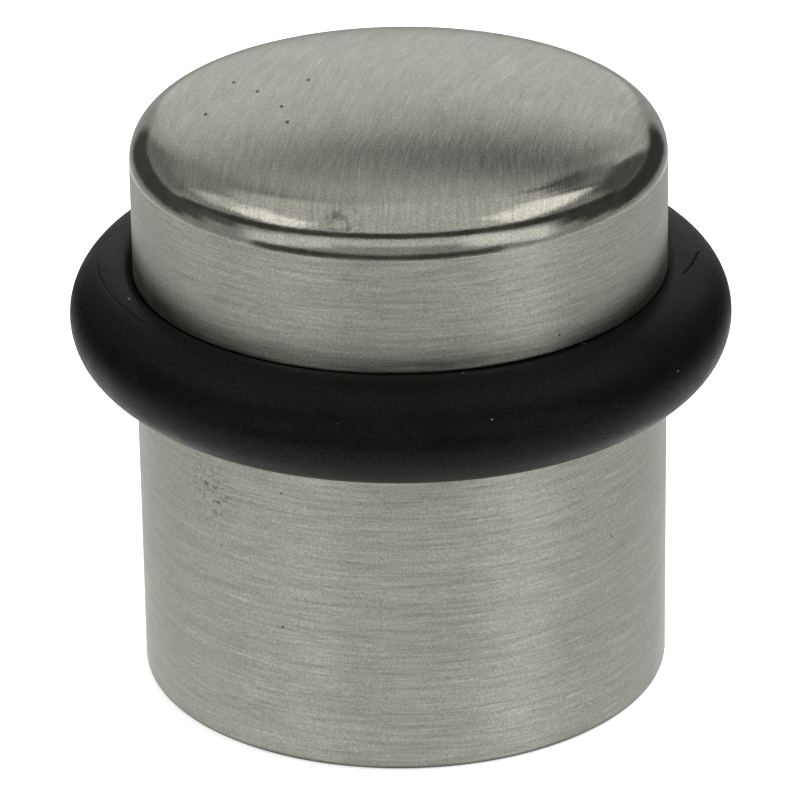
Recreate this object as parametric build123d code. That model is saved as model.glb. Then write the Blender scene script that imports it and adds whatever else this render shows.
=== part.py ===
from build123d import *
import os
from math import atan, atan2, degrees, radians, sin, sqrt

# Cylindrical floor door stop: a drawn metal shell over a moulded core, a rubber buffer ring in a
# rolled groove, and a floor base that the body screws down onto. Millimetres, +Z up, with the
# origin on the floor at the centre of the foot. The rear, with the set screw, faces +Y.

# Shell
body_radius = 17.5
body_height = 40.0
shell_wall = 1.2
edge_start_z = 36.0
edge_radius = 3.0
foot_round = 0.3

# Buffer ring and its groove
ring_section_radius = 3.5
ring_inner_radius = 14.78
ring_center_z = 25.2
ring_clearance = 0.05
lip_radius = 1.5

# Floor pad and base
pad_height = 1.0
pad_radius = 11.8
pad_hole_radius = 4.5
base_radius = 12.0
base_disc_height = 6.0
base_edge_bevel = 0.4
boss_radius = 8.0
boss_top_z = 16.0
boss_well_radius = 5.2
floor_screw_radius = 2.75
floor_screw_wall = 2.5

# Screw joint between the body and the base
running_gap = 0.05
bush_flange_radius = 11.65
bush_flange_height = 1.0
bush_radius = 10.5
bush_height = 8.0
bush_groove_depth = 0.4
bush_groove_width = 1.0
bush_groove_offsets = (2.6, 5.4)

# Slip washer
washer_height = 1.0
washer_inner_radius = 8.4
washer_radius = 11.0
washer_snap_radius = 11.6
washer_snap_height = 0.5

# Core
fit_gap = 0.05
core_foot_z = 0.6
core_base_radius = 12.25
core_lip_radius = 11.2
core_lip_height = 0.3
core_recess_radius = 11.75
core_boss_radius = 8.5
core_roof_gap = 1.2

# Set screw (M4, flat point, hexagon socket) and its square nut
screw_z = 4.4
screw_radius = 2.0
screw_length = 5.0
screw_tip_radius = 1.25
screw_tip_bevel = 0.7
socket_across_flats = 2.0
socket_depth = 2.2
nut_across_flats = 7.0
nut_thickness = 2.2
nut_corner_bevel = 0.5
nut_inner_y = 13.0
screw_hole_core_radius = 2.2
screw_hole_shell_radius = 2.3

# Worked out from the driving dimensions
ring_center_radius = ring_inner_radius + ring_section_radius
channel_radius = ring_section_radius + ring_clearance
lip_center_radius = body_radius - lip_radius
lip_reach = channel_radius + lip_radius
lip_rise = sqrt(lip_reach**2 - (ring_center_radius - lip_center_radius) ** 2)
lip_turn = degrees(atan2(lip_rise, ring_center_radius - lip_center_radius))
edge_center_radius = body_radius - edge_radius
crown_rise = body_height - edge_start_z - edge_radius
crown_slope = 2 * degrees(atan(crown_rise / edge_center_radius))
crown_radius = edge_center_radius / sin(radians(crown_slope)) + edge_radius
base_top_z = pad_height + base_disc_height
washer_foot_z = base_top_z + running_gap
washer_top_z = washer_foot_z + washer_height
bush_foot_z = washer_top_z + 2 * running_gap
bush_seat_z = bush_foot_z + bush_flange_height
bush_top_z = bush_seat_z + bush_height
screw_tip_y = base_radius + running_gap
core_hole_end_y = body_radius - shell_wall


def arc(center, radius, start_angle, end_angle):
    """An arc about center, from start_angle to end_angle in degrees."""
    return CenterArc(center, radius, start_angle, end_angle - start_angle)


def skin(depth, foot_z):
    """The body's outline, depth inside its outer surface, from foot_z up to the top centre."""
    wall = body_radius - depth
    lower_lip_z = ring_center_z - lip_rise
    upper_lip_z = ring_center_z + lip_rise
    small_arc = lip_radius - depth
    wide_arc = channel_radius + depth
    top_angle = 90 - crown_slope
    lower_lip = arc((lip_center_radius, lower_lip_z), small_arc, 0, lip_turn)
    upper_lip = arc((lip_center_radius, upper_lip_z), small_arc, -lip_turn, 0)
    channel = arc((ring_center_radius, ring_center_z), wide_arc, 180 + lip_turn, 180 - lip_turn)
    edge = arc((edge_center_radius, edge_start_z), edge_radius - depth, 0, top_angle)
    crown = arc((0, body_height - crown_radius), crown_radius - depth, top_angle, 90)
    skirt = Line((wall, foot_z), lower_lip @ 0)
    side = Line(upper_lip @ 1, (wall, edge_start_z))
    return [skirt, lower_lip, channel, upper_lip, side, edge, crown]


def turned(edges):
    """The solid that closed outline edges sweep in a full turn about the vertical axis."""
    face = Plane.XZ * make_face(edges)
    return revolve(face, axis=Axis.Z)


def turned_polygon(*points):
    """The solid swept by a polygon of (radius, height) points about the vertical axis."""
    return turned(Polyline(*points, close=True).edges())


def rear_cylinder(radius, start_y, end_y):
    """A cylinder along +Y at the set screw's height."""
    plane = Plane(origin=(0, start_y, screw_z), x_dir=(1, 0, 0), z_dir=(0, 1, 0))
    return extrude(plane * Circle(radius), amount=end_y - start_y)


def make_outer_shell():
    outside = skin(0, 0)
    inside = skin(shell_wall, 0)
    foot = Line(inside[0] @ 0, outside[0] @ 0)
    axis_line = Line(outside[-1] @ 1, inside[-1] @ 1)
    shell = turned(outside + inside + [foot, axis_line])
    foot_edges = shell.edges().group_by(Axis.Z)[0]
    shell = fillet(foot_edges.sort_by(SortBy.RADIUS)[-1], foot_round)
    return shell - rear_cylinder(screw_hole_shell_radius, base_radius, body_radius + shell_wall)


def make_buffer_ring():
    return Pos(0, 0, ring_center_z) * Torus(ring_center_radius, ring_section_radius)


def make_floor_pad():
    return turned_polygon(
        (pad_hole_radius, 0),
        (pad_radius, 0),
        (pad_radius, pad_height),
        (pad_hole_radius, pad_height),
    )


def make_mounting_base():
    sink_foot_z = pad_height + floor_screw_wall
    sink_top_z = sink_foot_z + boss_well_radius - floor_screw_radius
    return turned_polygon(
        (floor_screw_radius, pad_height),
        (base_radius - base_edge_bevel, pad_height),
        (base_radius, pad_height + base_edge_bevel),
        (base_radius, base_top_z - base_edge_bevel),
        (base_radius - base_edge_bevel, base_top_z),
        (boss_radius, base_top_z),
        (boss_radius, boss_top_z - base_edge_bevel),
        (boss_radius - base_edge_bevel, boss_top_z),
        (boss_well_radius, boss_top_z),
        (boss_well_radius, sink_top_z),
        (floor_screw_radius, sink_foot_z),
    )


def make_slip_washer():
    snap_foot_z = washer_top_z - washer_snap_height
    return turned_polygon(
        (washer_inner_radius, washer_foot_z),
        (washer_radius, washer_foot_z),
        (washer_radius, snap_foot_z),
        (washer_snap_radius, snap_foot_z),
        (washer_snap_radius, washer_top_z),
        (washer_inner_radius, washer_top_z),
    )


def make_thread_bush():
    outline = [(bush_flange_radius, bush_foot_z), (bush_flange_radius, bush_seat_z), (bush_radius, bush_seat_z)]
    groove_radius = bush_radius - bush_groove_depth
    for offset in bush_groove_offsets:
        groove_foot_z = bush_seat_z + offset
        groove_top_z = groove_foot_z + bush_groove_width
        outline += [(bush_radius, groove_foot_z), (groove_radius, groove_foot_z)]
        outline += [(groove_radius, groove_top_z), (bush_radius, groove_top_z)]
    thread_radius = boss_radius + running_gap
    outline += [(bush_radius, bush_top_z), (thread_radius, bush_top_z), (thread_radius, bush_foot_z)]
    return turned_polygon(*outline)


def make_core():
    outside = skin(shell_wall + fit_gap, core_foot_z)
    lip_foot_z = washer_top_z - washer_snap_height - fit_gap - core_lip_height
    lip_top_z = lip_foot_z + core_lip_height
    bush_bore = bush_radius + fit_gap
    bush_end_z = bush_top_z + fit_gap
    roof_z = bush_top_z + core_roof_gap
    cavity = Polyline(
        outside[-1] @ 1,
        (0, roof_z),
        (core_boss_radius, roof_z),
        (core_boss_radius, bush_end_z),
        (bush_bore, bush_end_z),
        (bush_bore, bush_seat_z + fit_gap),
        (core_recess_radius, bush_seat_z + fit_gap),
        (core_recess_radius, lip_top_z),
        (core_lip_radius, lip_top_z),
        (core_lip_radius, lip_foot_z),
        (core_base_radius, lip_foot_z),
        (core_base_radius, core_foot_z),
        outside[0] @ 0,
    )
    core = turned(outside + cavity.edges())
    pocket_width = nut_across_flats + 2 * fit_gap
    pocket_depth = nut_thickness + 2 * fit_gap
    pocket_top_z = screw_z + nut_across_flats / 2 + fit_gap
    pocket_center_y = nut_inner_y + nut_thickness / 2
    pocket = Pos(0, pocket_center_y, pocket_top_z / 2) * Box(pocket_width, pocket_depth, pocket_top_z)
    return core - pocket - rear_cylinder(screw_hole_core_radius, base_radius, core_hole_end_y)


def make_set_screw_nut():
    plane = Plane(origin=(0, nut_inner_y, screw_z), x_dir=(1, 0, 0), z_dir=(0, 1, 0))
    blank = extrude(plane * Rectangle(nut_across_flats, nut_across_flats), amount=nut_thickness)
    blank = chamfer(blank.edges().filter_by(Axis.Y), nut_corner_bevel)
    return blank - rear_cylinder(screw_radius + running_gap, base_radius, body_radius)


def make_set_screw():
    screw_end_y = screw_tip_y + screw_length
    shank = rear_cylinder(screw_radius, screw_tip_y, screw_end_y)
    end_edges = shank.edges().filter_by(GeomType.CIRCLE).sort_by(Axis.Y)
    shank = chamfer(end_edges[0], screw_tip_bevel, screw_radius - screw_tip_radius)
    plane = Plane(origin=(0, screw_end_y, screw_z), x_dir=(1, 0, 0), z_dir=(0, 1, 0))
    socket = plane * RegularPolygon(socket_across_flats / 2, 6, major_radius=False)
    return shank - extrude(socket, amount=-socket_depth)


parts = {
    "outer_shell": make_outer_shell(),
    "buffer_ring": make_buffer_ring(),
    "core": make_core(),
    "thread_bush": make_thread_bush(),
    "slip_washer": make_slip_washer(),
    "mounting_base": make_mounting_base(),
    "floor_pad": make_floor_pad(),
    "set_screw": make_set_screw(),
    "set_screw_nut": make_set_screw_nut(),
}

os.makedirs("parts", exist_ok=True)
for name, solid in parts.items():
    export_step(solid, f"parts/{name}.step")
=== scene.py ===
from collections import namedtuple
from math import asin, cos, degrees, hypot, pi, radians, sin, sqrt

import bmesh
import bpy
from mathutils import Matrix, Vector, noise


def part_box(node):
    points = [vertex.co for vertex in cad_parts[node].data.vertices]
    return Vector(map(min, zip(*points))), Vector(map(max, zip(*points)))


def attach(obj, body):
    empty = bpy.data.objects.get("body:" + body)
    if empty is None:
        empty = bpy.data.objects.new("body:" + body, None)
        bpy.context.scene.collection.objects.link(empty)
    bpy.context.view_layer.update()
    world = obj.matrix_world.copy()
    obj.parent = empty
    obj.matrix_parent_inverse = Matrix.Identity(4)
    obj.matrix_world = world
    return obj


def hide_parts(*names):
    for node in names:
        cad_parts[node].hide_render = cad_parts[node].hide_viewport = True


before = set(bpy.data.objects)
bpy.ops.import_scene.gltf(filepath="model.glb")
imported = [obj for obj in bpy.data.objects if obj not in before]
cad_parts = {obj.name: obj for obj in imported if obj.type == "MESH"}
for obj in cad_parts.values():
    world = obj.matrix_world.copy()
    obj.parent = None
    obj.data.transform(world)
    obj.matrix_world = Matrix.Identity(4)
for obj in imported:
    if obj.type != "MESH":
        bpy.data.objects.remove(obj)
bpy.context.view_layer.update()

MM = 0.001
ROUND = 256  # segments round the shell

# ---------------------------------------------------------------- sizes, in metres

shell_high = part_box("outer_shell")[1]
ring_low, ring_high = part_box("buffer_ring")
bush_low, bush_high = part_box("thread_bush")
washer_low, washer_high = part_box("slip_washer")
base_low, base_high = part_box("mounting_base")
pad_low, pad_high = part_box("floor_pad")
screw_low, screw_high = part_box("set_screw")
nut_low, nut_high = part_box("set_screw_nut")

BODY_RADIUS = shell_high.x
BODY_HEIGHT = shell_high.z
SHELL_WALL = 1.2 * MM
EDGE_START = BODY_HEIGHT - 4.0 * MM
FOOT_ROUND = 0.3 * MM

# The rounding from the crown to the side, as arcs that end at a slope and have a radius. The crown
# before them and the edge after them have the radii that close the outline.
CROWN_END = 7.0
EDGE_BLEND = ((9.0, 40.0 * MM), (12.0, 15.0 * MM), (17.0, 6.0 * MM))
BRUSHED_END = 54.0  # slope where the brushing of the top ends

RING_SECTION = (ring_high.z - ring_low.z) / 2
RING_RADIUS = ring_high.x - RING_SECTION
RING_HEIGHT = (ring_high.z + ring_low.z) / 2
RING_TILT_FRONT = 1.0  # degrees that the ring sits out of level, lower at the front
RING_TILT_SIDE = 0.5  # and lower on the right
GROOVE_RADIUS = RING_SECTION - 0.3 * MM  # tighter than the ring, which it squeezes
SQUEEZE_REACH = 0.6 * MM  # how far outside the wall the rubber starts to give way
GROOVE_LIP = 0.2 * MM
INNER_LIP = 0.3 * MM  # the same lip, inside the shell

SCREW_HEIGHT = (screw_low.z + screw_high.z) / 2
SCREW_RADIUS = (screw_high.x - screw_low.x) / 2
SCREW_HOLE = 2.3 * MM
HOLE_BREAK = 0.18 * MM
FIT_GAP = 0.05 * MM

BOSS_RADIUS = 8.0 * MM
WELL_RADIUS = 5.2 * MM
FLOOR_SCREW_RADIUS = 2.75 * MM
BASE_BEVEL = 0.4 * MM
BASE_TOP = base_low.z + 6.0 * MM
SINK_FOOT = base_low.z + 2.5 * MM
BASE_PITCH = 1.5 * MM
THREAD_DEPTH = 0.9 * MM
SET_SCREW_PITCH = 0.7 * MM
SET_SCREW_DEPTH = 0.36 * MM


# ---------------------------------------------------------------- mesh helpers


def arc(center, radius, start, end, steps):
    """Points (radius, height) on an arc about center, between two angles in degrees."""
    angles = [radians(start + (end - start) * i / steps) for i in range(steps + 1)]
    return [(center[0] + radius * cos(a), center[1] + radius * sin(a)) for a in angles]


def span(start, end, steps):
    """Points on a straight stretch, both ends included."""
    shares = [i / steps for i in range(steps + 1)]
    return [(start[0] + (end[0] - start[0]) * s, start[1] + (end[1] - start[1]) * s) for s in shares]


def chain(*stretches):
    """Stretches of points joined into one outline, without repeated points."""
    outline = []
    for stretch in stretches:
        for point in stretch:
            if not outline or point != outline[-1]:
                outline.append(point)
    return outline


def softened(corners, radius, steps=3):
    """A closed outline of straight stretches with its corners cut to small rounds."""
    outline = []
    for i, corner in enumerate(corners):
        here = Vector(corner)
        before, after = Vector(corners[i - 1]) - here, Vector(corners[(i + 1) % len(corners)]) - here
        reach = min(radius, before.length * 0.45, after.length * 0.45)
        first, last = here + before.normalized() * reach, here + after.normalized() * reach
        for j in range(steps + 1):
            t = j / steps
            point = first * (1 - t) ** 2 + here * 2 * t * (1 - t) + last * t**2
            outline.append((point.x, point.y))
    return outline


def turn_outline(mesh, outline, segments=ROUND):
    """Rings of vertices, one for each outline point, whose radius may be a function of the angle.
    A point on the axis is a single vertex."""
    rings = []
    for radius, height in outline:
        if radius == 0:
            rings.append([mesh.verts.new((0, 0, height))])
            continue
        ring = []
        for i in range(segments):
            a = 2 * pi * i / segments
            r = radius(a) if callable(radius) else radius
            ring.append(mesh.verts.new((r * sin(a), r * cos(a), height)))
        rings.append(ring)
    return rings


def join_rings(mesh, low, high, skip=lambda index: False, material=0):
    """Faces between two neighbouring rings, either of which may be a single vertex."""
    count = max(len(low), len(high))
    for i in range(count):
        if skip(i):
            continue
        j = (i + 1) % count
        corners = [low[i % len(low)], low[j % len(low)], high[j % len(high)], high[i % len(high)]]
        face = mesh.faces.new(dict.fromkeys(corners))
        face.material_index = material


def finish_mesh(mesh, name, sharp_angle=35):
    """A smooth-shaded object of the mesh, with edges over sharp_angle kept sharp."""
    bmesh.ops.recalc_face_normals(mesh, faces=mesh.faces)
    data = bpy.data.meshes.new(name)
    mesh.to_mesh(data)
    mesh.free()
    piece = bpy.data.objects.new(name, data)
    bpy.context.scene.collection.objects.link(piece)
    data.shade_smooth()
    data.set_sharp_from_angle(angle=radians(sharp_angle))
    return piece


def lathe(name, outline, segments=ROUND, sharp_angle=35):
    """A turned piece of a closed outline that stays clear of the axis, or starts and ends on it."""
    mesh = bmesh.new()
    rings = turn_outline(mesh, outline, segments)
    for low, high in zip(rings, rings[1:]):
        join_rings(mesh, low, high)
    if outline[0][0] != 0:
        join_rings(mesh, rings[-1], rings[0])
    return finish_mesh(mesh, name, sharp_angle)


def thread(crest, depth, pitch, start, end):
    """Outline points of a right-hand thread between two heights, running out at both ends.
    A depth below zero cuts it into a bore."""
    steps = round(abs(end - start) / pitch * 14)

    def radius_at(height):
        run_in = min(abs(height - start), abs(height - end)) / (pitch * 0.8)
        cut = depth * min(1.0, run_in)

        def radius(angle):
            phase = (height / pitch + angle / (2 * pi)) % 1.0
            valley = (abs(2 * phase - 1) - 0.12) / 0.70
            return crest - cut * min(1.0, max(0.0, valley))

        return radius

    heights = [start + (end - start) * i / steps for i in range(steps + 1)]
    return [(radius_at(height), height) for height in heights]


def place(piece, body, slot, replaces, *materials):
    """Rides the piece on its body in place of a CAD node, with its materials. The slot argument is not
    used.
    """
    for material in materials:
        piece.data.materials.append(material)
    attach(piece, body)
    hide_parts(replaces)
    return piece


# ---------------------------------------------------------------- node helpers


class Nodes:
    """Short ways to add nodes to one node tree."""

    def __init__(self, tree):
        self.tree = tree
        tree.nodes.clear()

    def add(self, kind, inputs=None, **settings):
        node = self.tree.nodes.new(kind)
        for key, value in settings.items():
            setattr(node, key, value)
        for key, value in (inputs or {}).items():
            self.feed(node.inputs[key], value)
        return node

    def feed(self, socket, value):
        if isinstance(value, bpy.types.NodeSocket):
            self.tree.links.new(value, socket)
        else:
            socket.default_value = value

    def math(self, operation, *values):
        return self.add("ShaderNodeMath", dict(enumerate(values)), operation=operation).outputs[0]

    def vector(self, operation, *values):
        return self.add("ShaderNodeVectorMath", dict(enumerate(values)), operation=operation).outputs[0]

    def length(self, vector):
        return self.add("ShaderNodeVectorMath", {0: vector}, operation="LENGTH").outputs["Value"]

    def distance(self, place, center):
        return self.length(self.vector("SUBTRACT", place, center))

    def join(self, x, y, z):
        return self.add("ShaderNodeCombineXYZ", {0: x, 1: y, 2: z}).outputs[0]

    def split(self, vector):
        return self.add("ShaderNodeSeparateXYZ", {0: vector}).outputs

    def product(self, *values):
        result = values[0]
        for value in values[1:]:
            result = self.math("MULTIPLY", result, value)
        return result

    def remap(self, value, low, high, to_low, to_high, smooth=False):
        inputs = {"Value": value, "From Min": low, "From Max": high, "To Min": to_low, "To Max": to_high}
        kind = "SMOOTHSTEP" if smooth else "LINEAR"
        return self.add("ShaderNodeMapRange", inputs, interpolation_type=kind).outputs["Result"]

    def mix(self, factor, low, high):
        """Between two numbers."""
        return self.math("ADD", self.math("MULTIPLY", factor, self.math("SUBTRACT", high, low)), low)

    def blend(self, factor, low, high):
        """Between two colours."""
        node = self.add("ShaderNodeMix", data_type="RGBA")
        for socket, value in ((0, factor), (6, low), (7, high)):
            self.feed(node.inputs[socket], value)
        return node.outputs[2]

    def tint(self, colour, share):
        """A colour made brighter or darker."""
        return self.vector("MULTIPLY", colour, self.join(share, share, share))

    def noise(self, vector, scale, detail=2.0, roughness=0.5):
        inputs = {"Vector": vector, "Scale": scale, "Detail": detail, "Roughness": roughness}
        return self.add("ShaderNodeTexNoise", inputs).outputs["Fac"]

    def vary(self, noise, amount):
        """A factor near 1 that follows a noise."""
        return self.remap(noise, 0.3, 0.7, 1 - amount, 1 + amount)

    def bump(self, height, depth, strength=1.0, normal=None):
        inputs = {"Strength": strength, "Distance": depth, "Height": height}
        if normal:
            inputs["Normal"] = normal
        return self.add("ShaderNodeBump", inputs).outputs[0]

    def position(self):
        """Object coordinates in millimetres."""
        place = self.add("ShaderNodeTexCoord").outputs["Object"]
        return self.vector("MULTIPLY", place, (1 / MM, 1 / MM, 1 / MM))

    def to_world(self, direction):
        """A direction in the object's axes, in the world's."""
        settings = {"vector_type": "VECTOR", "convert_from": "OBJECT", "convert_to": "WORLD"}
        return self.add("ShaderNodeVectorTransform", {"Vector": direction}, **settings).outputs[0]

    def spot(self, place, center, radius):
        """1 inside a small round spot, 0 outside."""
        return self.remap(self.distance(place, center), radius * 0.6, radius, 1.0, 0.0)


def new_material(name, viewport):
    made = bpy.data.materials.new(name)
    made.use_nodes = True
    made.diffuse_color = (*viewport, 1)
    return made, Nodes(made.node_tree)


def finish_material(nodes, **inputs):
    settings = {name.replace("_", " "): value for name, value in inputs.items()}
    shader = nodes.add("ShaderNodeBsdfPrincipled", settings)
    output = nodes.add("ShaderNodeOutputMaterial")
    nodes.feed(output.inputs["Surface"], shader.outputs[0])


# ---------------------------------------------------------------- materials

METAL = (0.50, 0.493, 0.43)
RUBBER = (0.0024, 0.0024, 0.0023)
PIT_COLOUR = (0.06, 0.052, 0.042, 1)
STAIN_COLOUR = (0.15, 0.12, 0.09, 1)
DUST_COLOUR = (0.25, 0.24, 0.21, 1)
TOP_METAL = (0.50, 0.491, 0.42)  # a little warmer
STREAK_CENTER = (75.0, -17.0, 0.0)  # the top is brushed in arcs about this point, in millimetres
TOP_PITS = (
    (-10.7, 4.3, 39.5),
    (-9.1, 2.1, 39.6),
    (-5.8, 3.5, 39.8),
    (-12.4, -0.9, 39.2),
    (-7.5, -0.9, 39.7),
    (-7.1, -3.5, 39.7),
)
SMUDGE = (-3.7, -16.3, 38.0)  # a ragged dark smudge at the front of the rounding
SIDE_PITS = (
    (-7.8, -15.7, 19.2),
    (-7.9, -15.6, 9.6),
    (13.4, -11.2, 13.6),
    (10.0, -14.4, 29.4),
    (-11.8, -13.0, 14.2),
)
STAIN = (-12.5, -12.2, 17.6)  # a small stained, pitted patch on the lower left of the side


def side_metal():
    """Satin metal brushed round the axis: level hairlines, so that highlights spread up and down."""
    made, nodes = new_material("shell_side_brushed", METAL)
    place_mm = nodes.position()
    fine = nodes.noise(nodes.vector("MULTIPLY", place_mm, (0.25, 0.25, 5.0)), 1.0, 3.0, 0.7)
    coarse = nodes.noise(nodes.vector("MULTIPLY", place_mm, (0.12, 0.12, 2.0)), 1.0, 2.0, 0.5)
    grain = nodes.noise(place_mm, 8.0, 1.0, 0.6)
    cloud = nodes.noise(place_mm, 0.22, 3.0, 0.6)
    scratch = nodes.noise(nodes.vector("MULTIPLY", place_mm, (0.25, 0.25, 5.0)), 1.3, 1.0, 0.5)
    share = nodes.product(
        nodes.vary(fine, 0.20), nodes.vary(coarse, 0.06), nodes.vary(grain, 0.20), nodes.vary(cloud, 0.05),
        nodes.remap(scratch, 0.66, 0.74, 1.0, 1.16), nodes.remap(scratch, 0.26, 0.34, 0.84, 1.0),
    )
    height = nodes.split(place_mm)[2]
    # Painted shade at the foot: a dark line in the lowest 0.36 mm and a milder darkening up to 1.2 mm, a
    # painted contact shadow and a painted reflection of the dark gap under the rounded foot.
    foot_shadow_line = nodes.remap(height, 0.16, 0.36, 0.14, 0.84)
    foot_shade = nodes.product(foot_shadow_line, nodes.remap(height, 0.3, 1.2, 1.0, 1.19, smooth=True))
    near = nodes.remap(nodes.distance(place_mm, STAIN), 0.6, 3.0, 1.0, 0.0, smooth=True)
    speckle = nodes.remap(nodes.noise(place_mm, 2.6, 3.0, 0.7), 0.53, 0.62, 0.0, 0.75)
    marks = nodes.product(near, speckle)
    for pit in SIDE_PITS:
        marks = nodes.math("MAXIMUM", marks, nodes.spot(place_mm, pit, 0.11))
    colour = nodes.blend(marks, nodes.tint(METAL, nodes.product(share, foot_shade)), STAIN_COLOUR)
    hairlines = nodes.remap(fine, 0.3, 0.7, 0.30, 0.37)
    rough = nodes.math("ADD", hairlines, nodes.remap(cloud, 0.3, 0.7, 0.0, 0.04))
    tangent = nodes.to_world((0, 0, 1))
    finish_material(
        nodes, Base_Color=colour, Metallic=1.0, Roughness=rough, Anisotropic=0.85, Tangent=tangent,
        Normal=nodes.bump(nodes.math("ADD", fine, grain), 0.004 * MM),
    )
    return made


def top_metal():
    """Satin metal brushed in long arcs across the top, with a few pits and deeper scratches."""
    made, nodes = new_material("shell_top_brushed", METAL)
    place_mm = nodes.position()
    spoke = nodes.vector("MULTIPLY", nodes.vector("SUBTRACT", place_mm, STREAK_CENTER), (1, 1, 0))
    reach = nodes.length(spoke)
    parts = nodes.split(spoke)
    along = nodes.product(nodes.math("ARCTAN2", parts[1], nodes.math("MULTIPLY", parts[0], -1.0)), reach)
    sway = nodes.remap(nodes.noise(place_mm, 0.12, 1.0), 0.3, 0.7, -0.25, 0.25)
    across = nodes.math("ADD", reach, sway)

    def streaks(per_mm_across, per_mm_along, offset, detail, roughness=0.5):
        """Noise drawn out along the arcs."""
        u = nodes.math("MULTIPLY", across, per_mm_across)
        v = nodes.math("MULTIPLY", along, per_mm_along)
        return nodes.noise(nodes.join(u, v, offset), 1.0, detail, roughness)

    fine = streaks(6.0, 0.35, 0.0, 3.0, 0.65)
    coarse = streaks(1.6, 0.12, 0.0, 2.0)
    scratch = streaks(4.0, 0.22, 7.0, 1.0)
    grain = nodes.noise(place_mm, 8.0, 1.0, 0.6)
    cloud = nodes.noise(place_mm, 0.25, 3.0, 0.6)
    share = nodes.product(
        nodes.vary(fine, 0.15), nodes.vary(coarse, 0.07), nodes.vary(grain, 0.20), nodes.vary(cloud, 0.05),
        nodes.remap(scratch, 0.65, 0.75, 1.0, 1.16), nodes.remap(scratch, 0.25, 0.35, 0.85, 1.0),
    )
    pitted = 0.0
    for pit in TOP_PITS:
        away = nodes.vector("MULTIPLY", nodes.vector("SUBTRACT", place_mm, pit), (1, 0.5, 0))
        pitted = nodes.math("MAXIMUM", pitted, nodes.remap(nodes.length(away), 0.09, 0.16, 1.0, 0.0))
    smudge = nodes.remap(nodes.distance(place_mm, SMUDGE), 0.5, 1.9, 1.0, 0.0, smooth=True)
    ragged = nodes.remap(nodes.noise(place_mm, 1.3, 2.0, 0.6), 0.42, 0.60, 0.0, 0.60)
    pitted = nodes.math("MAXIMUM", pitted, nodes.product(smudge, ragged))
    colour = nodes.blend(pitted, nodes.tint(TOP_METAL, share), PIT_COLOUR)
    from_axis = nodes.length(nodes.vector("MULTIPLY", place_mm, (1, 1, 0)))
    buffed = nodes.remap(from_axis, 14.7, 15.8, 0.0, 1.0, smooth=True)
    rough = nodes.math("SUBTRACT", nodes.remap(fine, 0.3, 0.7, 0.20, 0.25), nodes.product(buffed, 0.12))
    tangent = nodes.vector("NORMALIZE", nodes.to_world(spoke))
    finish_material(
        nodes, Base_Color=colour, Metallic=1.0, Roughness=rough,
        Anisotropic=nodes.mix(buffed, 0.84, 0.40), Tangent=tangent,
        Normal=nodes.bump(nodes.math("ADD", fine, grain), 0.004 * MM),
    )
    return made


def edge_metal():
    """The smooth band round the top edge: the same metal, buffed and slightly orange-peeled."""
    made, nodes = new_material("shell_edge_buffed", METAL)
    place_mm = nodes.position()
    cloud = nodes.noise(place_mm, 0.7, 3.0, 0.6)
    grain = nodes.noise(place_mm, 8.0, 1.0, 0.6)
    peel = nodes.noise(nodes.vector("MULTIPLY", place_mm, (1.0, 1.0, 2.5)), 1.4, 3.0, 0.6)
    share = nodes.product(nodes.vary(grain, 0.16), nodes.vary(cloud, 0.10))
    finish_material(
        nodes, Base_Color=nodes.tint(METAL, share), Metallic=1.0,
        Roughness=nodes.remap(cloud, 0.3, 0.7, 0.10, 0.15),
        Normal=nodes.bump(peel, 0.005 * MM, normal=nodes.bump(grain, 0.001 * MM)),
    )
    return made


def rolled_metal():
    """Bare drawn metal inside the shell and down in its groove."""
    made, nodes = new_material("shell_inside", METAL)
    place_mm = nodes.position()
    draw = nodes.noise(nodes.vector("MULTIPLY", place_mm, (2.5, 2.5, 0.15)), 1.0, 3.0, 0.6)
    cloud = nodes.noise(place_mm, 0.3, 3.0, 0.6)
    share = nodes.product(nodes.vary(draw, 0.12), nodes.vary(cloud, 0.15), 0.85)
    finish_material(
        nodes, Base_Color=nodes.tint(METAL, share), Metallic=1.0,
        Roughness=nodes.remap(cloud, 0.3, 0.7, 0.32, 0.48), Normal=nodes.bump(draw, 0.006 * MM),
    )
    return made


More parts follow.
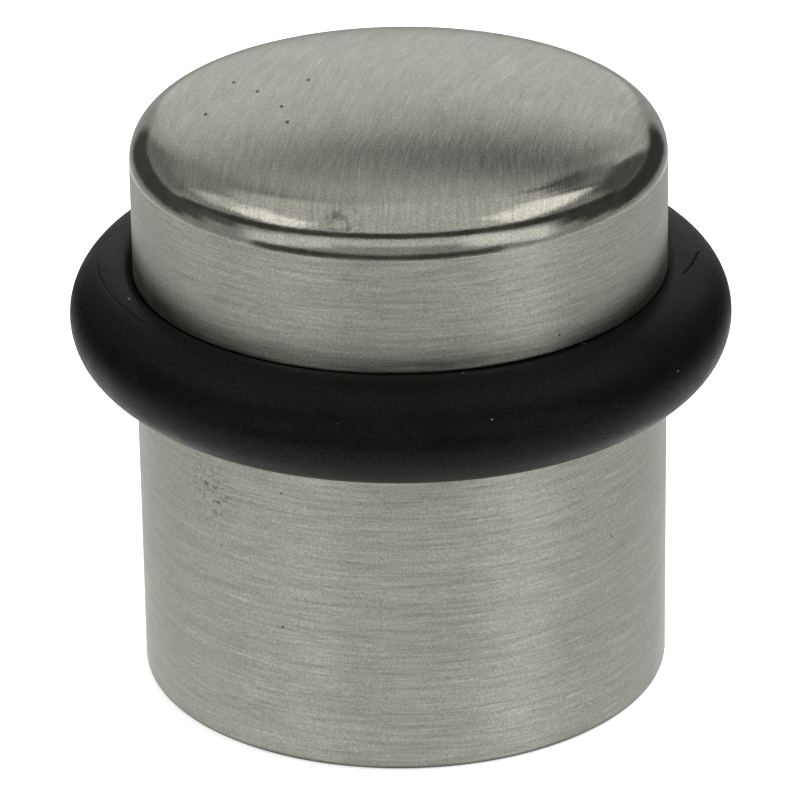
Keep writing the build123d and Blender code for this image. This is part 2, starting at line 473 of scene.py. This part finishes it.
def ring_rubber():
    """Black satin rubber with a moulding line and a short crease, both darkened with painted shade, dust
    and a greyish bloom.
    """
    made, nodes = new_material("ring_rubber", (0.01, 0.01, 0.01))
    place_mm = nodes.position()
    parts = nodes.split(place_mm)
    radius = nodes.length(nodes.vector("MULTIPLY", place_mm, (1, 1, 0)))
    azimuth = nodes.product(nodes.math("ARCTAN2", parts[0], parts[1]), 180 / pi)
    rise = nodes.math("SUBTRACT", parts[2], RING_HEIGHT / MM)
    reach_out = nodes.math("SUBTRACT", radius, RING_RADIUS / MM)
    section = nodes.product(nodes.math("ARCTAN2", rise, reach_out), 180 / pi)
    cloud = nodes.noise(place_mm, 0.3, 4.0, 0.6)
    grain = nodes.noise(place_mm, 9.0, 2.0, 0.7)
    dust = nodes.remap(nodes.noise(place_mm, 2.6, 0.0), 0.87, 0.90, 0.0, 0.5)
    wobble = nodes.remap(nodes.noise(place_mm, 1.2, 2.0), 0.3, 0.7, -1.0, 1.0)

    def groove(center, slope, width, start, end, ragged):
        """A fine line at a section angle, between two azimuths, all in degrees."""
        turned = nodes.math("SUBTRACT", azimuth, start)
        line = nodes.math("ADD", nodes.math("MULTIPLY", turned, slope), center)
        from_line = nodes.math("SUBTRACT", section, line)
        off = nodes.math("ABSOLUTE", nodes.math("ADD", from_line, nodes.product(wobble, ragged)))
        middle, half = (start + end) / 2, abs(end - start) / 2
        reach = nodes.math("ABSOLUTE", nodes.math("SUBTRACT", azimuth, middle))
        inside = nodes.remap(reach, half * 0.7, half, 1.0, 0.0, smooth=True)
        return nodes.product(nodes.remap(off, 0.0, width, 1.0, 0.0, smooth=True), inside)

    line = nodes.product(groove(62.0, -0.45, 1.6, -86.0, -124.0, 0.25), 0.5)
    crease = groove(64.0, 1.45, 3.0, 86.0, 101.0, 1.0)
    # Painted shade: colour and specular are darkened along the moulding line and the crease, standing in
    # for the shade in these fine grooves.
    dark = nodes.math("SUBTRACT", 1.0, nodes.product(nodes.math("MAXIMUM", line, crease), 0.8))
    share = nodes.product(nodes.vary(cloud, 0.35), nodes.vary(grain, 0.4), dark)
    colour = nodes.blend(dust, nodes.tint(RUBBER, share), DUST_COLOUR)
    relief = nodes.math("SUBTRACT", grain, nodes.product(nodes.math("MAXIMUM", line, crease), 8.0))
    finish_material(
        nodes, Base_Color=colour, Roughness=nodes.remap(cloud, 0.3, 0.7, 0.34, 0.46),
        Specular_IOR_Level=nodes.product(0.13, nodes.vary(grain, 0.6), dark),
        Normal=nodes.bump(relief, 0.008 * MM),
    )
    return made


def pad_rubber():
    """Matt non-slip rubber."""
    made, nodes = new_material("pad_rubber", (0.03, 0.03, 0.03))
    place_mm = nodes.position()
    cloud = nodes.noise(place_mm, 0.4, 3.0, 0.6)
    grain = nodes.noise(place_mm, 5.0, 3.0, 0.7)
    share = nodes.product(nodes.vary(cloud, 0.3), nodes.vary(grain, 0.2))
    finish_material(
        nodes, Base_Color=nodes.tint((0.022, 0.022, 0.022), share),
        Roughness=nodes.remap(cloud, 0.3, 0.7, 0.65, 0.82), Normal=nodes.bump(grain, 0.03 * MM),
    )
    return made


def moulded_plastic(name, colour, rough_low, rough_high):
    """Moulded plastic with a fine spark-eroded texture and faint flow marks."""
    made, nodes = new_material(name, colour)
    place_mm = nodes.position()
    flow = nodes.noise(nodes.vector("MULTIPLY", place_mm, (0.5, 0.5, 0.15)), 1.0, 3.0, 0.6)
    grain = nodes.noise(place_mm, 6.0, 3.0, 0.7)
    share = nodes.product(nodes.vary(flow, 0.12), nodes.vary(grain, 0.06))
    finish_material(
        nodes, Base_Color=nodes.tint(colour, share),
        Roughness=nodes.remap(grain, 0.3, 0.7, rough_low, rough_high), Normal=nodes.bump(grain, 0.015 * MM),
    )
    return made


def turned_metal(name, colour, rough_low, rough_high, axis="Z"):
    """Machined metal: fine tool rings about the axis, with slightly uneven colour."""
    made, nodes = new_material(name, colour)
    place_mm = nodes.position()
    if axis == "Y":
        place_mm = nodes.vector("SUBTRACT", place_mm, (0, 0, SCREW_HEIGHT / MM))
    parts = nodes.split(place_mm)
    level = (1, 1, 0) if axis == "Z" else (1, 0, 1)
    height = parts[2] if axis == "Z" else parts[1]
    radius = nodes.length(nodes.vector("MULTIPLY", place_mm, level))
    rings = nodes.noise(nodes.join(radius, 0.0, height), 5.0, 3.0, 0.7)
    cloud = nodes.noise(place_mm, 0.3, 3.0, 0.6)
    grain = nodes.noise(place_mm, 8.0, 2.0, 0.6)
    share = nodes.product(nodes.vary(rings, 0.12), nodes.vary(cloud, 0.10), nodes.vary(grain, 0.06))
    finish_material(
        nodes, Base_Color=nodes.tint(colour, share), Metallic=1.0,
        Roughness=nodes.math("ADD", nodes.remap(rings, 0.3, 0.7, rough_low, rough_high),
                             nodes.remap(cloud, 0.3, 0.7, 0.0, 0.06)),
        Normal=nodes.bump(rings, 0.008 * MM),
    )
    return made


# ---------------------------------------------------------------- shell


def rounding():
    """The crown and the edge, from the centre of the top out to the side: outline points and slopes."""
    turns = [(end, radius) for end, radius in EDGE_BLEND]
    across = down = 0.0
    before = CROWN_END
    for end, radius in turns:
        across += radius * (sin(radians(end)) - sin(radians(before)))
        down += radius * (cos(radians(before)) - cos(radians(end)))
        before = end
    # Two unknown radii, from how far the outline reaches across and down.
    a, b = sin(radians(CROWN_END)), 1 - sin(radians(before))
    c, d = 1 - cos(radians(CROWN_END)), cos(radians(before))
    width, drop = BODY_RADIUS - across, BODY_HEIGHT - EDGE_START - down
    crown_radius = (width * d - b * drop) / (a * d - b * c)
    edge_radius = (a * drop - c * width) / (a * d - b * c)
    stretches = [(CROWN_END, crown_radius, 44)] + [(end, radius, 4) for end, radius in turns]
    stretches += [(BRUSHED_END, edge_radius, 20), (90.0, edge_radius, 20)]
    points, slopes = [(0, BODY_HEIGHT)], [0.0]
    before = 0.0
    for end, radius, steps in stretches:
        start_r, start_z = points[-1]
        for i in range(1, steps + 1):
            slope = before + (end - before) * i / steps
            r = start_r + radius * (sin(radians(slope)) - sin(radians(before)))
            z = start_z - radius * (cos(radians(before)) - cos(radians(slope)))
            points.append((r, z))
            slopes.append(slope)
        before = end
    return points, slopes


def channel(depth, lip):
    """The rolled groove and its lips, upwards, depth inside the outer surface."""
    wall = BODY_RADIUS - depth
    lip_center = wall - lip
    reach = GROOVE_RADIUS + depth + lip
    rise = sqrt(reach**2 - (RING_RADIUS - lip_center) ** 2)
    turn = degrees(asin(rise / reach))
    low = arc((lip_center, RING_HEIGHT - rise), lip, 0, turn, 14)
    bottom = arc((RING_RADIUS, RING_HEIGHT), GROOVE_RADIUS + depth, 180 + turn, 180 - turn, 40)
    high = arc((lip_center, RING_HEIGHT + rise), lip, -turn, 0, 14)
    return low, bottom, high


HOLE_STEPS = 8  # half the width of the square of faces that the screw hole replaces


def skirt(wall, start, end):
    """Points up the skirt: even rows across the screw hole, wider rows above."""
    half = HOLE_STEPS * 2 * pi / ROUND * BODY_RADIUS
    low, high = SCREW_HEIGHT - half, SCREW_HEIGHT + half
    across_hole = span((wall, low), (wall, high), 2 * HOLE_STEPS)
    return chain([(wall, start)], across_hole, span((wall, high), (wall, end), 20))


def hole_border(rings, first):
    """The vertices round the square of faces left out for the screw hole, in order."""
    last = first + 2 * HOLE_STEPS
    border = [rings[first][i] for i in range(-HOLE_STEPS, HOLE_STEPS)]
    border += [rings[j][HOLE_STEPS] for j in range(first, last)]
    border += [rings[last][i] for i in range(HOLE_STEPS, -HOLE_STEPS, -1)]
    border += [rings[j][-HOLE_STEPS] for j in range(last, first, -1)]
    return border


def hole_loop(mesh, border, surface, radius, share, inset=0.0):
    """A loop between the square border, share 0, and a circle of that radius, share 1."""
    loop = []
    for vertex in border:
        dx, dz = vertex.co.x, vertex.co.z - SCREW_HEIGHT
        length = hypot(dx, dz)
        x = dx * (1 - share) + radius * dx / length * share
        z = dz * (1 - share) + radius * dz / length * share
        loop.append(mesh.verts.new((x, sqrt(surface**2 - x**2) - inset, z + SCREW_HEIGHT)))
    return loop


def make_shell():
    """The drawn shell: brushed skirt, rolled groove, brushed band, smooth edge and brushed crown."""
    points, slopes = rounding()
    low_lip, groove, high_lip = channel(0.0, GROOVE_LIP)
    inner_low, inner_groove, inner_high = channel(SHELL_WALL, INNER_LIP)
    foot = arc((BODY_RADIUS - FOOT_ROUND, FOOT_ROUND), FOOT_ROUND, -90, 0, 6)
    skirt_out = skirt(BODY_RADIUS, FOOT_ROUND, low_lip[0][1])
    wall_in = BODY_RADIUS - SHELL_WALL
    side = span(high_lip[-1], (BODY_RADIUS, EDGE_START), 16)
    outside = chain(foot, skirt_out, low_lip, groove, high_lip, side, reversed(points))
    first_out = len(foot)
    first_in = 1
    inner_rim = []
    for (r, z), slope in zip(points, slopes):
        inner_rim.append((r - SHELL_WALL * sin(radians(slope)), z - SHELL_WALL * cos(radians(slope))))
    inner_rim[0] = (0, BODY_HEIGHT - SHELL_WALL)
    skirt_in = skirt(wall_in, 0.0, inner_low[0][1])
    inside = chain(skirt_in, inner_low, inner_groove, inner_high, reversed(inner_rim))
    mesh = bmesh.new()
    rings_out = turn_outline(mesh, outside)
    rings_in = turn_outline(mesh, inside)
    slope_at = dict(zip(points, slopes))

    def outer_material(low, high):
        if low in slope_at:
            return 1 if slope_at[low] <= BRUSHED_END else 2
        in_groove = low in groove and high in groove
        return 3 if in_groove else 0

    for rings, outline, first in ((rings_out, outside, first_out), (rings_in, inside, first_in)):
        for j, (low, high) in enumerate(zip(rings, rings[1:])):
            in_rows = first <= j < first + 2 * HOLE_STEPS
            skip = lambda i, rows=in_rows: rows and (i < HOLE_STEPS or i >= ROUND - HOLE_STEPS)
            kind = outer_material(outline[j], outline[j + 1]) if rings is rings_out else 3
            join_rings(mesh, low, high, skip, kind)
    join_rings(mesh, rings_in[0], rings_out[0], material=3)

    border_out, border_in = hole_border(rings_out, first_out), hole_border(rings_in, first_in)
    mouth = SCREW_HOLE + HOLE_BREAK
    loops = [border_out]
    loops += [hole_loop(mesh, border_out, BODY_RADIUS, mouth, share) for share in (0.3, 0.6, 0.85, 1.0)]
    for turn in (30, 60, 90):
        radius = mouth - HOLE_BREAK * sin(radians(turn))
        inset = HOLE_BREAK * (1 - cos(radians(turn)))
        loops.append(hole_loop(mesh, border_out, BODY_RADIUS, radius, 1.0, inset))
    loops += [hole_loop(mesh, border_in, wall_in, SCREW_HOLE, share) for share in (1.0, 0.85, 0.6, 0.3)]
    loops.append(border_in)
    for number, (low, high) in enumerate(zip(loops, loops[1:])):
        join_rings(mesh, low, high, material=0 if number < 4 else 3)
    return finish_mesh(mesh, "shell", 40)


# ---------------------------------------------------------------- buffer ring


def make_ring():
    """The moulded ring. It sits slightly out of level, and gives way where it meets the groove."""
    around, across = 360, 96
    waver = 0.03 * MM
    largest = RING_SECTION - waver
    level = Matrix.Rotation(radians(RING_TILT_FRONT), 3, "X")
    level @= Matrix.Rotation(radians(RING_TILT_SIDE), 3, "Y")
    mesh = bmesh.new()
    loops = []
    for i in range(around):
        a = 2 * pi * i / around
        loop = []
        for j in range(across):
            b = 2 * pi * j / across
            uneven = noise.noise(Vector((cos(a) * 2.4, sin(a) * 2.4, sin(b) * 0.5)))
            section = largest + waver * uneven
            r = RING_RADIUS - waver + section * cos(b)
            spot = level @ Vector((r * sin(a), r * cos(a), section * sin(b)))
            # Where the tilt would press the rubber into the metal, it is squeezed back.
            out = hypot(spot.x, spot.y)
            from_center = Vector((out - RING_RADIUS, spot.z))
            limit = GROOVE_RADIUS - 0.02 * MM
            if out < BODY_RADIUS + SQUEEZE_REACH and from_center.length > limit:
                share = min(1.0, (BODY_RADIUS + SQUEEZE_REACH - out) / SQUEEZE_REACH)
                share *= share * (3 - 2 * share)
                kept = from_center * (1 - share) + from_center.normalized() * limit * share
                scale = (RING_RADIUS + kept.x) / out
                spot = Vector((spot.x * scale, spot.y * scale, kept.y))
            loop.append(mesh.verts.new((spot.x, spot.y, RING_HEIGHT + spot.z)))
        loops.append(loop)
    for i in range(around):
        join_rings(mesh, loops[i], loops[(i + 1) % around])
    return finish_mesh(mesh, "rubber_ring", 70)


# ---------------------------------------------------------------- hidden pieces


def make_base():
    """The turned floor base: bevelled disc, threaded boss, well and countersink for the floor screw."""
    top = base_high.z
    bevel = BASE_BEVEL
    disc = softened([
        (FLOOR_SCREW_RADIUS, base_low.z),
        (base_high.x - bevel, base_low.z),
        (base_high.x, base_low.z + bevel),
        (base_high.x, BASE_TOP - bevel),
        (base_high.x - bevel, BASE_TOP),
        (BOSS_RADIUS - THREAD_DEPTH, BASE_TOP),
    ], 0.12 * MM)[:-3]
    run = thread(BOSS_RADIUS, THREAD_DEPTH, BASE_PITCH, BASE_TOP + 0.5 * MM, top - bevel)
    foot = [(BOSS_RADIUS - THREAD_DEPTH, BASE_TOP), (BOSS_RADIUS - THREAD_DEPTH, BASE_TOP + 0.3 * MM)]
    crown = [(BOSS_RADIUS - bevel, top), (WELL_RADIUS + 0.3 * MM, top), (WELL_RADIUS, top - 0.3 * MM)]
    sink_top = SINK_FOOT + WELL_RADIUS - FLOOR_SCREW_RADIUS
    inside = span((WELL_RADIUS, top - 0.3 * MM), (WELL_RADIUS, sink_top), 4)
    inside += [(FLOOR_SCREW_RADIUS, SINK_FOOT)]
    return lathe("threaded_base", chain(disc, foot, run, crown, inside), 128)


def make_bush():
    """The pressed-in bush: flange, knurled barrel with two grooves, and a thread in its bore."""
    flange_radius = bush_high.x
    barrel, groove_depth, groove_width = 10.5 * MM, 0.4 * MM, 1.0 * MM
    bore = BOSS_RADIUS + FIT_GAP
    flange_top = bush_low.z + 1.0 * MM
    teeth, tooth = 64, 0.22 * MM

    def knurled(angle):
        return barrel - tooth * abs(sin(angle * teeth / 2))

    outline = softened([
        (bore + 0.4 * MM, bush_low.z),
        (flange_radius, bush_low.z),
        (flange_radius, flange_top),
        (barrel - tooth, flange_top),
    ], 0.15 * MM)[4:]
    height = flange_top
    for offset in (2.6 * MM, 5.4 * MM):
        start = flange_top + offset
        outline += [(barrel - tooth, height + 0.15 * MM), (knurled, height + 0.35 * MM)]
        outline += [(knurled, start - 0.2 * MM)]
        outline += [(barrel - groove_depth, start), (barrel - groove_depth, start + groove_width)]
        height = start + groove_width - 0.15 * MM
    outline += [(knurled, height + 0.35 * MM), (knurled, bush_high.z - 0.3 * MM)]
    outline += [(barrel - 0.3 * MM, bush_high.z), (bore + 0.4 * MM, bush_high.z)]
    outline += thread(bore, -THREAD_DEPTH, BASE_PITCH, bush_high.z - 0.4 * MM, bush_low.z + 0.4 * MM)
    return lathe("knurled_bush", outline, 256)


def make_washer():
    """The slip washer, with its snap flange and rounded edges."""
    inner, outer = 8.4 * MM, 11.0 * MM
    snap = washer_high.z - 0.5 * MM
    corners = [
        (inner, washer_low.z), (outer, washer_low.z), (outer, snap),
        (washer_high.x, snap), (washer_high.x, washer_high.z), (inner, washer_high.z),
    ]
    return lathe("snap_washer", softened(corners, 0.14 * MM), 160, 50)


def make_pad():
    """The floor pad, with rounded edges and shallow rings moulded into its underside."""
    inner, outer = 4.5 * MM, pad_high.x
    corners = [(inner, pad_high.z), (inner, pad_low.z)]
    ribs, groove_top = 6, 0.3 * MM
    pitch = (outer - inner) / (2 * ribs + 1)
    for i in range(ribs):
        start = inner + (2 * i + 1) * pitch
        corners += [(start, pad_low.z), (start, groove_top)]
        corners += [(start + pitch, groove_top), (start + pitch, pad_low.z)]
    corners += [(outer, pad_low.z), (outer, pad_high.z)]
    return lathe("ribbed_pad", softened(corners, 0.12 * MM), 160, 50)


def stand_up(piece, start):
    """Lays a piece that was turned about the vertical axis along +Y at the set screw's height."""
    laid = Matrix.Rotation(radians(-90), 4, "X")
    piece.data.transform(Matrix.Translation((0, start, SCREW_HEIGHT)) @ laid)
    return piece


def hexagon(across_flats):
    """The radius of a hexagon at an angle, with one corner at angle 0."""
    return lambda angle: across_flats / 2 / cos((angle % (pi / 3)) - pi / 6)


def make_set_screw():
    """The flat-point set screw, with its thread and hexagon socket."""
    length = screw_high.y - screw_low.y
    tip = 1.25 * MM
    socket = hexagon(2.0 * MM)
    root = SCREW_RADIUS - SET_SCREW_DEPTH
    outline = [(0, 0), (tip - 0.05 * MM, 0), (tip, 0.05 * MM), (root, 0.62 * MM)]
    outline += thread(SCREW_RADIUS, SET_SCREW_DEPTH, SET_SCREW_PITCH, 0.7 * MM, length - 0.25 * MM)
    outline += [(SCREW_RADIUS - 0.25 * MM, length), (1.32 * MM, length)]
    outline += [(hexagon(2.06 * MM), length - 0.12 * MM), (socket, length - 0.3 * MM)]
    outline += [(socket, length - 2.0 * MM), (0, length - 2.2 * MM)]
    return stand_up(lathe("set_screw_m4", outline, 96, 30), screw_low.y)


def make_nut():
    """The square nut: bevelled corners, domed outer face and a threaded hole."""
    half = (nut_high.x - nut_low.x) / 2
    thickness = nut_high.y - nut_low.y
    bore = SCREW_RADIUS + FIT_GAP

    def square(limit):
        def radius(angle):
            turned = abs((angle + pi / 4) % (pi / 2) - pi / 4)
            corner = (2 * half - 0.5 * MM) / (cos(turned) + sin(turned))
            return min(half / cos(turned), corner, limit)
        return radius

    outline = [(bore + 0.3 * MM, 0), (square(3.3 * MM), 0), (square(3.45 * MM), 0.02 * MM)]
    outline += [(square(5 * MM), 0.05 * MM), (square(5 * MM), thickness - 0.5 * MM)]
    outline += [(square(4.2 * MM), thickness - 0.22 * MM), (square(3.45 * MM), thickness - 0.02 * MM)]
    outline += [(square(3.3 * MM), thickness), (bore + 0.3 * MM, thickness)]
    outline += thread(bore, -SET_SCREW_DEPTH, SET_SCREW_PITCH, thickness - 0.3 * MM, 0.3 * MM)
    return stand_up(lathe("square_nut", outline, 128, 25), nut_low.y)


# ---------------------------------------------------------------- pieces on their bodies

inside = rolled_metal()
shell_metals = (side_metal(), top_metal(), edge_metal(), inside)
place(make_shell(), "stop_body", "brushed_shell", "outer_shell", *shell_metals)
place(make_ring(), "buffer_ring", "ring_rubber", "buffer_ring", ring_rubber())
brass = turned_metal("bush_brass", (0.74, 0.56, 0.27), 0.20, 0.32)
place(make_bush(), "stop_body", "bush_brass", "thread_bush", brass)
nylon = moulded_plastic("washer_nylon", (0.80, 0.78, 0.71), 0.35, 0.5)
place(make_washer(), "slip_washer", "washer_nylon", "slip_washer", nylon)
zinc = turned_metal("base_steel", (0.58, 0.59, 0.60), 0.22, 0.34)
place(make_base(), "floor_base", "base_steel", "mounting_base", zinc)
place(make_pad(), "floor_base", "pad_rubber", "floor_pad", pad_rubber())
steel = turned_metal("set_screw_steel", (0.40, 0.40, 0.41), 0.22, 0.32, axis="Y")
place(make_set_screw(), "set_screw", "set_screw_steel", "set_screw", steel)
plated = turned_metal("nut_steel", (0.60, 0.60, 0.58), 0.24, 0.36, axis="Y")
place(make_nut(), "stop_body", "nut_steel", "set_screw_nut", plated)

core_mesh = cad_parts["core"].data
core_mesh.materials.clear()
core_mesh.materials.append(moulded_plastic("core_nylon", (0.045, 0.045, 0.05), 0.42, 0.6))

# ---------------------------------------------------------------- studio

# Where the studio is lighter or darker than its walls, seen from the object, in degrees. turn is the
# azimuth of a field's middle, 0 behind the object and growing to the right, and height its elevation.
# width and depth are half sizes, soft the softness of its edge, slant its lean and bend
# how fast it sags to the sides. Where fields overlap, the later one covers the earlier.
STUDIO_WALL = 0.64
Patch = namedtuple("Patch", "turn width height depth soft light slant bend", defaults=(0.0, 0.0))
STUDIO_PATCHES = (
    Patch(0, 240, -8, 12, 3, 0.35),  # beyond the table's edge
    Patch(0, 240, -57, 33, 6, 1.03),  # table
    Patch(0, 26, -52, 28, 4, 1.28),  # table straight behind, in full light
    Patch(134, 14, -48, 21, 4, 1.12),  # table lit by the front card, right
    Patch(-134, 14, -48, 21, 4, 1.17),  # table lit by the front card, left
    Patch(101, 16, -48, 21, 6, 0.90),  # their dimmer outer ends
    Patch(-101, 16, -48, 21, 6, 0.90),
    Patch(0, 34, 10, 22, 5, 0.38),  # dim room behind
    Patch(-42, 36, 38, 14, 4, 0.33),  # dim field, rear left
    Patch(-50, 22, 22, 9, 5, 0.22),  # darker field below it
    Patch(6, 30, 22, 8, 5, 0.52),  # lit back wall
    Patch(0, 14, 18, 13, 4, 0.74),  # brightest part of it
    Patch(3, 10, 32, 2.8, 2, 0.08),  # gap above the back wall
    Patch(62, 22, 33, 21, 4, 0.11),  # dark screen, rear right
    Patch(40, 22, 43, 7, 4, 0.24),  # its upper part, reaching left
    Patch(33, 15, 48.5, 5, 2, 0.13, slant=0.2),  # its top edge, rising from the gap
    Patch(14, 11, 38, 4.5, 4, 0.05, slant=0.85),  # a dark flag that leans across the gap
    Patch(98, 20, 28, 11, 4, 0.30),  # dim room, right
    Patch(-94, 21, 26, 10, 4, 0.33),  # dim room, left
    Patch(180, 70, 8, 16, 5, 0.36),  # room in front
    Patch(180, 32, 19, 6, 4, 0.74),  # lighter strip across it
    Patch(134, 19, 8, 13, 5, 0.98, slant=0.4),  # front card, right
    Patch(-134, 19, 8, 12, 5, 0.86, slant=-0.4),  # front card, left
    Patch(96, 28, 51, 12, 4, 1.22),  # soft box, right
    Patch(-106, 24, 47, 9, 3, 1.25),  # soft box, left
    Patch(-78, 12, 42, 9, 5, 0.75),  # its dimmer end
    Patch(180, 106, 39.5, 7.5, 1.5, 0.05, bend=0.72),  # dark strip that sags to the sides
    Patch(54, 28, 0, 13, 3, 0.05),  # dark floor beyond the table, right
    Patch(86, 14, 1, 9, 4, 0.06),  # rising towards the front
    Patch(99, 12, 10, 8, 4, 0.06),
    Patch(-52, 28, 0, 13, 3, 0.07),  # dark floor beyond the table, left
    Patch(-82, 10, 3, 9, 4, 0.09),  # rising towards the front
    Patch(-99, 11, 11, 7, 4, 0.12),
    Patch(-170, 53, -15, 7.5, 3.5, 0.06),  # dark floor below the camera
)


def make_studio_light():
    """The studio as the object sees it: even walls with a few lighter and darker fields."""
    world = bpy.data.worlds.new("studio")
    world.use_nodes = True
    bpy.context.scene.world = world
    nodes = Nodes(world.node_tree)
    parts = nodes.split(nodes.add("ShaderNodeTexCoord").outputs["Generated"])
    azimuth = nodes.product(nodes.math("ARCTAN2", parts[0], parts[1]), 180 / pi)
    elevation = nodes.product(nodes.math("ARCSINE", parts[2]), 180 / pi)
    light = STUDIO_WALL
    for patch in STUDIO_PATCHES:
        turn = nodes.math("WRAP", nodes.math("SUBTRACT", azimuth, patch.turn), 180.0, -180.0)
        sag = nodes.math("COSINE", nodes.product(turn, patch.bend * pi / 180))
        middle = nodes.math("ADD", nodes.product(sag, patch.height), nodes.product(turn, patch.slant))
        rise = nodes.math("ABSOLUTE", nodes.math("SUBTRACT", elevation, middle))
        spread = nodes.math("ABSOLUTE", turn)
        low, high = patch.width - patch.soft, patch.width + patch.soft
        wide = nodes.remap(spread, low, high, 1.0, 0.0, smooth=True)
        high = nodes.remap(rise, patch.depth - patch.soft, patch.depth + patch.soft, 1.0, 0.0, smooth=True)
        light = nodes.mix(nodes.product(wide, high), light, patch.light)
    background = nodes.add("ShaderNodeBackground", {"Color": (1, 1, 1, 1), "Strength": light})
    output = nodes.add("ShaderNodeOutputWorld")
    nodes.feed(output.inputs["Surface"], background.outputs[0])


def make_floor():
    """A large pale floor that glows a little, so that the object's shadow stays faint."""
    mesh = bmesh.new()
    bmesh.ops.create_circle(mesh, cap_ends=True, radius=3.0, segments=64)
    floor = finish_mesh(mesh, "studio_floor")
    white, nodes = new_material("studio_white", (1, 1, 1))
    mottle = nodes.noise(nodes.position(), 0.01, 2.0)
    finish_material(
        nodes, Base_Color=nodes.tint((0.9, 0.9, 0.9), nodes.vary(mottle, 0.005)), Roughness=1.0,
        Specular_IOR_Level=0.0, Emission_Color=(1, 1, 1, 1), Emission_Strength=0.62,
    )
    floor.data.materials.append(white)
    floor.visible_glossy = False


def make_lamp(name, place_at, aim, size, power):
    """A large soft lamp that lights surfaces but doesn't show in the metal."""
    data = bpy.data.lights.new(name, "AREA")
    data.shape = "DISK"
    data.size = size
    data.energy = power
    lamp = bpy.data.objects.new(name, data)
    lamp.location = place_at
    lamp.rotation_euler = (Vector(aim) - Vector(place_at)).to_track_quat("-Z", "Y").to_euler()
    lamp.visible_glossy = False
    bpy.context.scene.collection.objects.link(lamp)


def make_camera():
    """A long lens 25 degrees above the object, turned by under a degree about its own axis."""
    distance, aim_height = 21 * BODY_RADIUS, 1.1 * BODY_RADIUS
    tilt, roll = radians(25.0), radians(-0.86)
    eye = Vector((0, -distance * cos(tilt), aim_height + distance * sin(tilt)))
    aim = Vector((-0.0084, 0, 1.0446)) * BODY_RADIUS
    data = bpy.data.cameras.new("camera")
    data.lens = 249.9
    data.sensor_width = 36.0
    data.clip_start = 0.01
    camera = bpy.data.objects.new("camera", data)
    camera.location = eye
    camera.rotation_euler = (aim - eye).to_track_quat("-Z", "Y").to_euler()
    camera.rotation_euler.rotate_axis("Z", roll)
    bpy.context.scene.collection.objects.link(camera)
    bpy.context.scene.camera = camera


make_studio_light()
make_floor()
make_lamp("lamp_above", (0.1, 0.1, 0.9), (0, 0, 0.02), 0.8, 9.0)
make_camera()

scene = bpy.context.scene
scene.view_settings.view_transform = "Standard"
